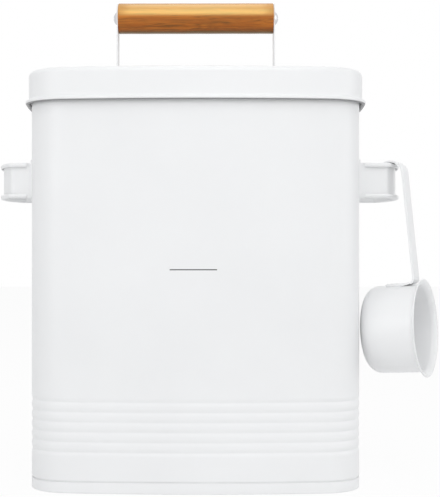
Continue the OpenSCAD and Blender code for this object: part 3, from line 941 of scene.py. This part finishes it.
# %% [markdown]
# Two things vary the coat by place. Under the lid's rolled rim the coat is darkened to grey as painted
# shade, which deepens the real shade of the fold into the one dark line round the tin. A mask takes the
# faces that look down, near the height of the rim only. On the front a plain thin rule is printed, and it is
# a box of three masks.

# %% White coat
COAT_LIGHT, COAT_DARK = (0.915, 0.918, 0.922), (0.89, 0.893, 0.898)
COAT_ROUGH_LOW, COAT_ROUGH_HIGH, COAT_IOR = 0.31, 0.40, 1.5
CLOUD_SCALE, GLOSS_SCALE, PEEL_SCALE, GRAIN_SCALE = 14, 60, 620, 2600
PEEL_STRENGTH, PEEL_MM, GRAIN_STRENGTH, GRAIN_MM = 0.10, 0.05, 0.06, 0.02
# Painted shade: a grey for the coat's faces that look down near the lid's rim, standing in for shade under
# the bead.
RIM_PAINTED_SHADE, RIM_SHADE_BAND, RIM_SHADE_FROM, RIM_SHADE_FULL = (0.22, 0.22, 0.225), 1.5, -0.35, -0.75
INK = (0.012, 0.012, 0.013)
RULE_L, RULE_H, RULE_X, RULE_Z = 28.0, 0.6, -1.0, 133.0

coat, tree, shader = new_material("white_coat")
cloud = noise(tree, CLOUD_SCALE, detail=3)
colour = ramp(tree, cloud, [(0.3, COAT_DARK), (0.7, COAT_LIGHT)])

place = place_of(tree)
# Painted shade: the coat is greyed where it faces down within a band round the rim's height.
shaded_underside = facing(tree, RIM_SHADE_FROM, RIM_SHADE_FULL)
shaded_rim_band = within(tree, place["Z"], nose_v, RIM_SHADE_BAND)
colour = blend_colour(tree, calculate(tree, "MULTIPLY", shaded_underside, shaded_rim_band), colour, RIM_PAINTED_SHADE)

along = within(tree, place["X"], RULE_X, RULE_L / 2)
across = within(tree, place["Z"], RULE_Z, RULE_H / 2)
on_front = calculate(tree, "LESS_THAN", place["Y"], (SHEET / 2 - half_d) * MM)
printed = calculate(tree, "MULTIPLY", calculate(tree, "MULTIPLY", along, across), on_front)
colour = blend_colour(tree, printed, colour, INK)

tree.links.new(colour, shader.inputs["Base Color"])
gloss = noise(tree, GLOSS_SCALE, detail=4)
tree.links.new(spread(tree, gloss, COAT_ROUGH_LOW, COAT_ROUGH_HIGH), shader.inputs["Roughness"])
peel = bump(tree, shader, noise(tree, PEEL_SCALE), PEEL_STRENGTH, PEEL_MM)
bump(tree, shader, noise(tree, GRAIN_SCALE), GRAIN_STRENGTH, GRAIN_MM, peel)
shader.inputs["IOR"].default_value = COAT_IOR
print("coat nodes", len(tree.nodes))

# %% [markdown]
# The grip is a golden hardwood under a clear lacquer. Its grain runs along the stick: broad bands of the
# yearly rings, darker streaks and fine pores. Each is a noise drawn out along X, so that its blotches are
# at most a few millimetres across but two to seven centimetres long. A painted highlight makes the upper
# side paler, and painted shade makes the underside dark.

# %% Lacquered wood
def multiply(tree, first, second, share):
    """The first colour darkened by the second, as far as share says."""
    node = tree.nodes.new("ShaderNodeMix")
    node.data_type, node.blend_type = "RGBA", "MULTIPLY"
    node.inputs["Factor"].default_value = share
    tree.links.new(first, node.inputs["A"])
    tree.links.new(second, node.inputs["B"])
    return node.outputs["Result"]


WHITE = (1, 1, 1)
WOOD_LIGHT, WOOD_MID, WOOD_DARK = (0.48, 0.10, 0.006), (0.34, 0.052, 0.002), (0.18, 0.022, 0.001)
STREAK_SHADE, PORE_SHADE = (0.46, 0.34, 0.24), (0.42, 0.30, 0.20)
RING_STRETCH, STREAK_STRETCH, PORE_STRETCH = (14, 190, 150), (42, 330, 330), (55, 1500, 1500)
# A painted highlight for the grip's upper side and a painted shade for its underside.
WOOD_PAINTED_HIGHLIGHT, WOOD_PAINTED_SHADE = (0.84, 0.47, 0.16), (0.09, 0.016, 0.001)
HIGHLIGHT_FROM, HIGHLIGHT_FULL, UNDER_SHADE_FROM, UNDER_SHADE_FULL = -0.05, 0.24, -0.80, -0.98
STREAK_SHARE, PORE_SHARE, HIGHLIGHT_SHARE = 0.9, 0.55, 0.55
WOOD_ROUGH_LOW, WOOD_ROUGH_HIGH, PORE_STRENGTH, PORE_MM = 0.20, 0.27, 0.2, 0.06
LACQUER_TINT, LACQUER_IOR, LACQUER_LEVEL = (1.0, 0.82, 0.30), 1.7, 0.85

wood, tree, shader = new_material("lacquered_wood")
rings = noise(tree, 1, detail=4, rough=0.6, stretch=RING_STRETCH, distortion=0.6)
streaks = noise(tree, 1, detail=3, rough=0.55, stretch=STREAK_STRETCH, distortion=1.4)
pores = noise(tree, 1, detail=3, rough=0.6, stretch=PORE_STRETCH)
band = ramp(tree, rings, [(0.30, WOOD_DARK), (0.45, WOOD_MID), (0.66, WOOD_LIGHT)])
streak_colour = ramp(tree, streaks, [(0.34, STREAK_SHADE), (0.50, WHITE)])
pore_colour = ramp(tree, pores, [(0.34, PORE_SHADE), (0.50, WHITE)])
colour = multiply(tree, multiply(tree, band, streak_colour, STREAK_SHARE), pore_colour, PORE_SHARE)

# Painted highlight: faces that look up are lightened, standing in for the lamps' reflection on top of the
# grip.
painted_highlight = calculate(tree, "MULTIPLY", facing(tree, HIGHLIGHT_FROM, HIGHLIGHT_FULL), HIGHLIGHT_SHARE)
colour = blend_colour(tree, painted_highlight, colour, WOOD_PAINTED_HIGHLIGHT)
# Painted shade: faces that look down are darkened, standing in for shade under the grip.
colour = blend_colour(tree, facing(tree, UNDER_SHADE_FROM, UNDER_SHADE_FULL), colour, WOOD_PAINTED_SHADE)
tree.links.new(colour, shader.inputs["Base Color"])
tree.links.new(spread(tree, rings, WOOD_ROUGH_LOW, WOOD_ROUGH_HIGH), shader.inputs["Roughness"])
shader.inputs["IOR"].default_value = LACQUER_IOR
shader.inputs["Specular IOR Level"].default_value = LACQUER_LEVEL
shader.inputs["Specular Tint"].default_value = (*LACQUER_TINT, 1)
bump(tree, shader, pores, PORE_STRENGTH, PORE_MM)
print("wood nodes", len(tree.nodes))

# %% [markdown]
# The screws are nickel-plated steel. Plating keeps faint turning marks from the die, so the roughness
# wanders finely and a very small bump breaks the reflections up.

# %% Plated steel
STEEL_LIGHT, STEEL_DARK = (0.70, 0.70, 0.72), (0.58, 0.58, 0.60)
STEEL_ROUGH_LOW, STEEL_ROUGH_HIGH = 0.29, 0.40
MARK_SCALE, MARK_STRENGTH, MARK_MM = 900, 0.08, 0.02

steel, tree, shader = new_material("plated_steel")
marks = noise(tree, MARK_SCALE, detail=3)
tree.links.new(ramp(tree, marks, [(0.3, STEEL_DARK), (0.7, STEEL_LIGHT)]), shader.inputs["Base Color"])
tree.links.new(spread(tree, marks, STEEL_ROUGH_LOW, STEEL_ROUGH_HIGH), shader.inputs["Roughness"])
bump(tree, shader, marks, MARK_STRENGTH, MARK_MM)
shader.inputs["Metallic"].default_value = 1.0
print("steel nodes", len(tree.nodes))

# %% [markdown]
# Each piece gets the material of its finish. The CAD nodes underneath get the same ones, so that a node
# which is shown in place of its piece looks alike.

# %% Give each piece its material
FINISH = {"coat": coat, "grip_wood": wood, "screw_steel": steel}
NODE_FINISH = {"wooden_grip": wood, "grip_screws": steel}


def coat_with(thing, material):
    """Gives a piece or a node one material in place of any other."""
    thing.data.materials.clear()
    thing.data.materials.append(material)


for piece, body, slot, nodes in DRESSING:
    coat_with(piece, FINISH[slot])
for name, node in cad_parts.items():
    coat_with(node, NODE_FINISH.get(name, coat))
print("white pieces", sum(slot == "coat" for piece, body, slot, nodes in DRESSING), "of", len(DRESSING))

# %% [markdown]
# The photograph is a catalogue picture: the tin stands on white, and floor and background run into one
# another. The floor is a pale matt sheet. What the camera sees of it, straight away or mirrored, is shown
# nearly white, so that only a hint of the tin's own shade is left. The light that it throws back on the tin
# stays that of the matt sheet.

# %% Floor
FLOOR_SIZE, FLOOR_DROP, FLOOR_SHOWN, FLOOR_PAINT = 12.0, 0.0001, 0.94, (0.92, 0.92, 0.92)

deselect_objects()
bpy.ops.mesh.primitive_plane_add(size=FLOOR_SIZE, location=(0, 0, -FLOOR_DROP))
floor = bpy.context.object
floor.name = "studio_floor"


def seen_by_camera(tree):
    """One for what the camera sees straight away or mirrored, nought for the light that falls on things."""
    path = tree.nodes.new("ShaderNodeLightPath").outputs
    mirrored = calculate(tree, "MAXIMUM", path["Is Glossy Ray"], path["Is Transmission Ray"])
    return calculate(tree, "MAXIMUM", path["Is Camera Ray"], mirrored)


floor_paint = bpy.data.materials.new("studio_floor")
floor_paint.use_nodes = True
tree = floor_paint.node_tree
tree.nodes.clear()
output = tree.nodes.new("ShaderNodeOutputMaterial")
matt = tree.nodes.new("ShaderNodeBsdfDiffuse")
matt.inputs["Color"].default_value = (*FLOOR_PAINT, 1)
glow = tree.nodes.new("ShaderNodeEmission")
glow.inputs["Strength"].default_value = 1.0
blend = tree.nodes.new("ShaderNodeMixShader")
tree.links.new(calculate(tree, "MULTIPLY", seen_by_camera(tree), FLOOR_SHOWN), blend.inputs["Fac"])
tree.links.new(matt.outputs["BSDF"], blend.inputs[1])
tree.links.new(glow.outputs["Emission"], blend.inputs[2])
tree.links.new(blend.outputs["Shader"], output.inputs["Surface"])
floor.data.materials.append(floor_paint)
print("floor in m", [round(side, 2) for side in floor.dimensions])

# %% [markdown]
# The world is a soft even light from all round, at about half strength and a touch cool, which tints the
# shaded edges as in the photograph. The camera sees it white, straight away or mirrored.

# %% World
WORLD_LIGHT, WORLD_TINT = 0.53, (0.975, 0.988, 1.0)

world = bpy.data.worlds.new("studio")
bpy.context.scene.world = world
world.use_nodes = True
tree = world.node_tree
tree.nodes.clear()
output = tree.nodes.new("ShaderNodeOutputWorld")
background = tree.nodes.new("ShaderNodeBackground")
shown = seen_by_camera(tree)
tree.links.new(ramp(tree, shown, [(0, WORLD_TINT), (1, WHITE)]), background.inputs["Color"])
tree.links.new(spread(tree, shown, WORLD_LIGHT, 1, 0, 1), background.inputs["Strength"])
tree.links.new(background.outputs["Background"], output.inputs["Surface"])
print("world light", WORLD_LIGHT, "seen as 1")

# %% [markdown]
# The lamps were found by measuring: each one was lit alone, the mix that came nearest to the photograph was
# worked out, and the rest was done one by one. Wide softboxes from the front, left and right light the bowed
# front evenly and let its edges fall off. Two narrow bright ones, high in front and straight above, are
# mirrored in the lacquer of the wooden grip and lighten its upper half.

# %% Lamps
TIN_AIM, GRIP_AIM = (0, 0, 0.15), (0, 0, 0.29)
LAMPS = {
    # Place, aim and size in metres, and power in watts
    "front_softbox": ((0, -2.2, 0.9), TIN_AIM, (1.6, 1.2), 2.3),
    "left_softbox": ((-1.7, -1.6, 0.7), TIN_AIM, (1.0, 1.2), 6.2),
    "right_softbox": ((1.7, -1.6, 0.7), TIN_AIM, (1.0, 1.2), 1.8),
    "side_softbox": ((2.0, -0.3, 0.7), TIN_AIM, (1.0, 1.2), 5.6),
    "high_softbox": ((0, -1.15, 1.35), GRIP_AIM, (0.5, 1.25), 6.2),
    "top_softbox": ((0, 0.1, 1.5), GRIP_AIM, (0.3, 1.2), 2.0),
}

deselect_objects()
for name, (stand, aim, size, watts) in LAMPS.items():
    bpy.ops.object.light_add(type="AREA", location=stand)
    light = bpy.context.object
    light.name = name
    light.data.shape = "RECTANGLE"
    light.data.size, light.data.size_y = size
    light.data.energy = watts
    light.rotation_euler = (Vector(aim) - Vector(stand)).to_track_quat("-Z", "Y").to_euler()
    print(name, watts, "W")

# %% [markdown]
# The camera stands level, a little above the middle of the tin and a hair to the right of it, as in
# the photograph. The tin sits left of the middle of the picture so that the scoop fits, which is a shift
# of the picture and not a turn of the camera.

# %% Camera
IMAGE_W, IMAGE_H = 440, 497
FOCAL_PX, SENSOR = 1250, 36.0
CAMERA_AWAY, CAMERA_HIGH, CAMERA_TURN = 0.8084, 0.138, math.radians(0.4)
AXIS_PX, HORIZON_PX = 195.9, 261.3

deselect_objects()
bpy.ops.object.camera_add(
    location=(CAMERA_AWAY * math.sin(CAMERA_TURN), -CAMERA_AWAY * math.cos(CAMERA_TURN), CAMERA_HIGH),
    rotation=(math.pi / 2, 0, CAMERA_TURN))
camera = bpy.context.object
camera.data.sensor_width = SENSOR
camera.data.lens = SENSOR * FOCAL_PX / IMAGE_H
camera.data.shift_x = (IMAGE_W / 2 - AXIS_PX) / IMAGE_H
camera.data.shift_y = (HORIZON_PX - IMAGE_H / 2) / IMAGE_H
bpy.context.scene.camera = camera
bpy.context.scene.view_settings.view_transform = "Standard"
print("lens", round(camera.data.lens, 1), "mm, shift", round(camera.data.shift_x, 3),
      round(camera.data.shift_y, 3))
